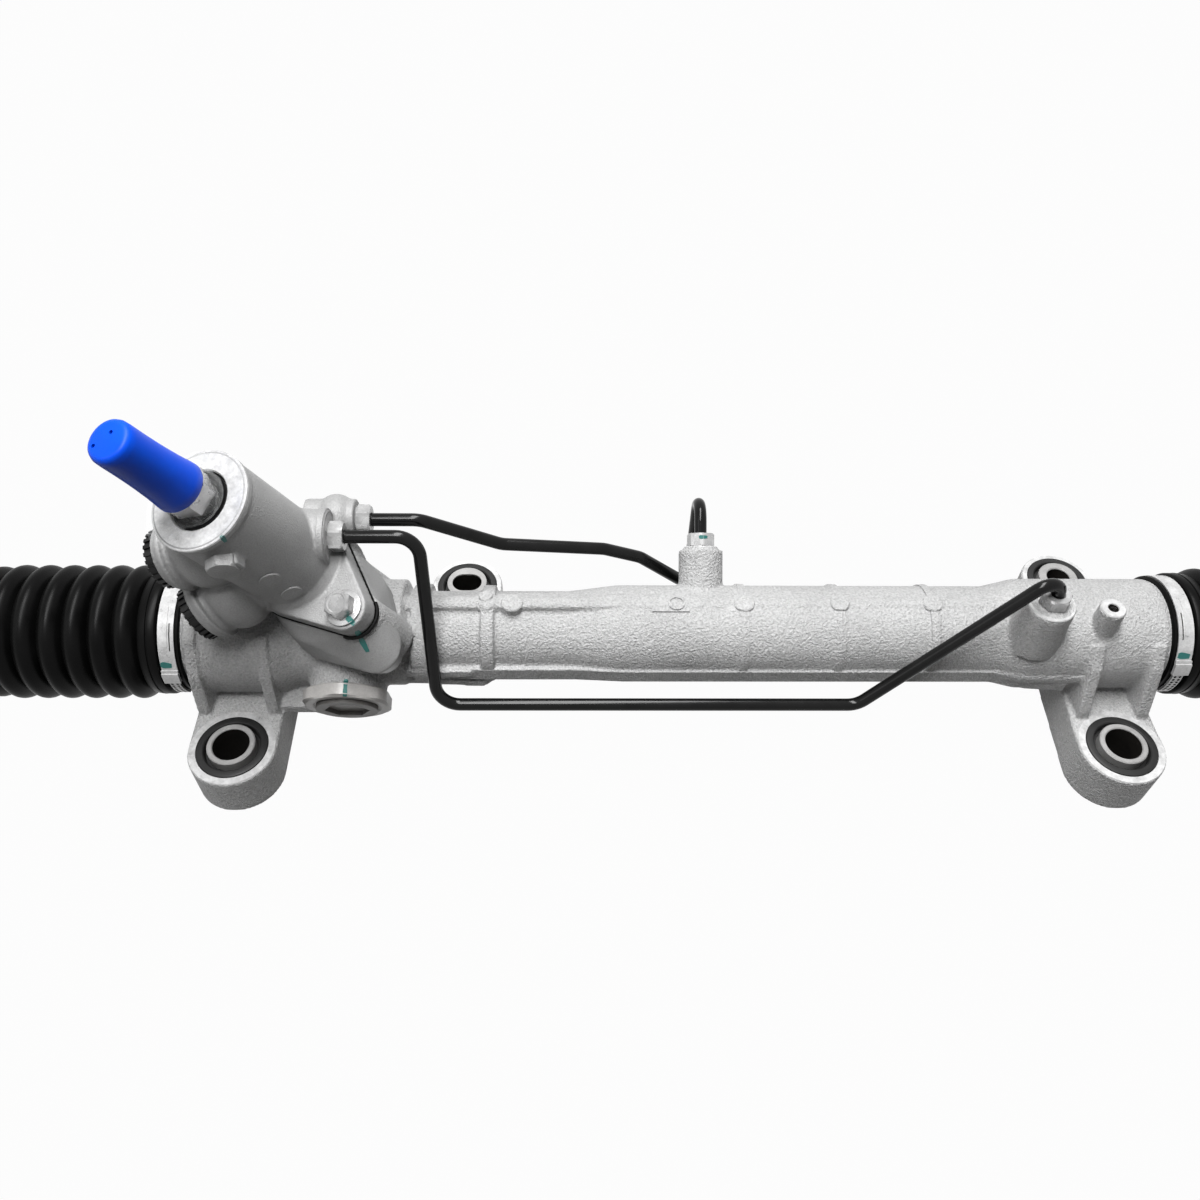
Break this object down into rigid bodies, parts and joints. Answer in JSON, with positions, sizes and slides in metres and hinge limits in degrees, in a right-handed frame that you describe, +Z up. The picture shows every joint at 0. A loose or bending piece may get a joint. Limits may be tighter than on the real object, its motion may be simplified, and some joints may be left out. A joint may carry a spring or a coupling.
{
  "type": "steering_rack",
  "caption": "Hydraulic power steering rack with rubber-bushed mounting ears, bellows, a bolted valve housing with a capped input shaft, and rigid transfer pipes.",
  "frame": {"origin": "underside of the gear-side front sleeve, on its bore axis; X along the rack, Y away from the front ears, Z up", "axes": "+X along the rack from the gear side to the far side, +Y away from the front ears, +Z up along the mounting bolts"},
  "size_m": [1.2, 0.1546, 0.2223],
  "materials": {
    "cast_aluminium": "as cast, grainy",
    "valve_aluminium": "as cast, smoother",
    "gasket": "fibre",
    "zinc_steel": "bright zinc",
    "black_plastic": "satin",
    "bush_steel": "turned",
    "bush_rubber": "matte",
    "guide_aluminium": "machined",
    "bearing_plastic": "smooth",
    "spring_steel": "phosphated",
    "pipe_paint": "gloss",
    "bearing_steel": "ground",
    "seal_rubber": "matte",
    "boot_rubber": "satin",
    "clamp_steel": "bright",
    "rack_steel": "ground",
    "joint_steel": "satin",
    "blue_plastic": "satin",
    "clear_film": "clear"
  },
  "bodies": {
    "housing": {"rack_housing": "cast_aluminium", "valve_housing": "valve_aluminium", "valve_housing_gasket": "gasket", "valve_housing_bolts": "zinc_steel", "pressure_port_plug": "black_plastic", "return_port_plug": "black_plastic", "gear_side_front_sleeve": "bush_steel", "far_side_front_sleeve": "bush_steel", "gear_side_rear_sleeve": "bush_steel", "far_side_rear_sleeve": "bush_steel", "gear_side_front_rubber": "bush_rubber", "far_side_front_rubber": "bush_rubber", "gear_side_rear_rubber": "bush_rubber", "far_side_rear_rubber": "bush_rubber", "rack_guide": "guide_aluminium", "rack_guide_pad": "bearing_plastic", "rack_guide_spring": "spring_steel", "rack_guide_plug": "zinc_steel", "rack_guide_lock_nut": "zinc_steel", "upper_transfer_pipe": "pipe_paint", "lower_transfer_pipe": "pipe_paint", "pipe_union_nuts": "zinc_steel", "input_shaft_bearing": "bearing_steel", "input_shaft_oil_seal": "seal_rubber", "pinion_upper_bearing": "bearing_steel", "pinion_lower_bearing": "bearing_steel", "rack_rod_seal": "seal_rubber", "rack_seal_washer": "bearing_plastic", "rack_end_bush": "guide_aluminium", "rack_end_seal": "seal_rubber", "end_bush_retaining_ring": "spring_steel", "gear_side_boot": "boot_rubber", "far_side_boot": "boot_rubber", "gear_side_boot_clamp": "clamp_steel", "far_side_boot_clamp": "clamp_steel"},
    "rack": {"rack_bar": "rack_steel", "piston": "rack_steel", "piston_ring": "bearing_plastic", "gear_side_inner_socket": "joint_steel", "far_side_inner_socket": "joint_steel"},
    "pinion": {"pinion_gear": "rack_steel", "valve_sleeve": "rack_steel", "valve_sleeve_rings": "bearing_plastic", "torsion_bar": "spring_steel"},
    "input_shaft": {"input_shaft": "rack_steel", "input_shaft_cap": "blue_plastic", "input_shaft_clear_sleeve": "clear_film"},
    "gear_side_tie_rod": {"gear_side_tie_rod": "joint_steel", "gear_side_jam_nut": "zinc_steel", "gear_side_boot_spring_clip": "spring_steel"},
    "far_side_tie_rod": {"far_side_tie_rod": "joint_steel", "far_side_jam_nut": "zinc_steel", "far_side_boot_spring_clip": "spring_steel"}
  },
  "joints": [
    {"name": "rack_slide", "type": "slide", "parent": "housing", "child": "rack", "axis": [1, 0, 0], "range_m": [-0.07, 0.07], "deforming": ["gear_side_boot", "far_side_boot"]},
    {"name": "pinion_spin", "type": "hinge", "parent": "housing", "child": "pinion", "pos_m": [0.0558, 0.07204, 0.05447], "axis": [-0.314, -0.3247, 0.8922], "range_deg": [-505, 505]},
    {"name": "valve_twist", "type": "hinge", "parent": "pinion", "child": "input_shaft", "pos_m": [0.0558, 0.07204, 0.05447], "axis": [-0.314, -0.3247, 0.8922], "range_deg": [-5, 5], "stiffness_Nm_per_rad": 70},
    {"name": "gear_side_tie_rod_swing", "type": "hinge", "parent": "rack", "child": "gear_side_tie_rod", "pos_m": [-0.116, 0.057, 0.049], "axis": [0, 1, 0], "range_deg": [-12, 12]},
    {"name": "far_side_tie_rod_swing", "type": "hinge", "parent": "rack", "child": "far_side_tie_rod", "pos_m": [0.564, 0.057, 0.049], "axis": [0, 1, 0], "range_deg": [-12, 12]}
  ],
  "couplings": [
    {"joint": "pinion_spin", "follows": "rack_slide", "rad_per_m": 124.92}
  ]
}
